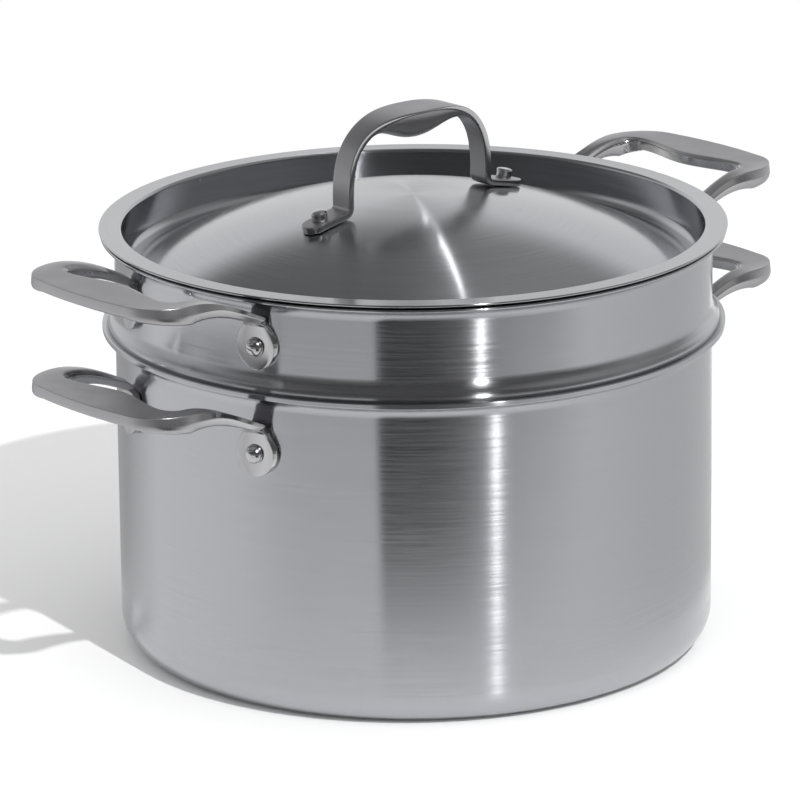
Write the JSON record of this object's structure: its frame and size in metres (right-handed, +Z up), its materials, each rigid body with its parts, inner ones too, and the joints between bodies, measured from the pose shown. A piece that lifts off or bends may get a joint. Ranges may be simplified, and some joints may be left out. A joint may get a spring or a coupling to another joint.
{
  "type": "stockpot with pasta insert",
  "caption": "Round steel stockpot with a perforated pasta insert hanging in it, a recessed domed lid with an arched handle, and riveted loop handles on the sides of pot and insert.",
  "frame": {"origin": "centre of the pot's base, on the surface it stands on", "axes": "+Z up along the pot's axis, +X along the line through the side handles and the lid handle"},
  "size_m": [0.38, 0.2778, 0.2423],
  "materials": {
    "brushed_steel": "satin, brushed round the axis",
    "cast_steel": "satin casting",
    "rivet_steel": "polished"
  },
  "bodies": {
    "pot": {"pot_body": "brushed_steel", "pot_handle_right": "cast_steel", "pot_handle_left": "cast_steel", "pot_rivet_right_a": "rivet_steel", "pot_rivet_right_b": "rivet_steel", "pot_rivet_left_a": "rivet_steel", "pot_rivet_left_b": "rivet_steel"},
    "insert": {"pasta_insert": "brushed_steel", "insert_handle_right": "cast_steel", "insert_handle_left": "cast_steel", "insert_rivet_right_a": "rivet_steel", "insert_rivet_right_b": "rivet_steel", "insert_rivet_left_a": "rivet_steel", "insert_rivet_left_b": "rivet_steel"},
    "lid": {"lid_shell": "brushed_steel", "lid_handle": "cast_steel", "lid_rivet_right": "rivet_steel", "lid_rivet_left": "rivet_steel"}
  },
  "joints": [
    {"name": "insert_lift", "type": "slide", "parent": "pot", "child": "insert", "axis": [0, 0, 1], "range_m": [0, 0.16]},
    {"name": "lid_lift", "type": "slide", "parent": "insert", "child": "lid", "axis": [0, 0, 1], "range_m": [0, 0.08]}
  ]
}
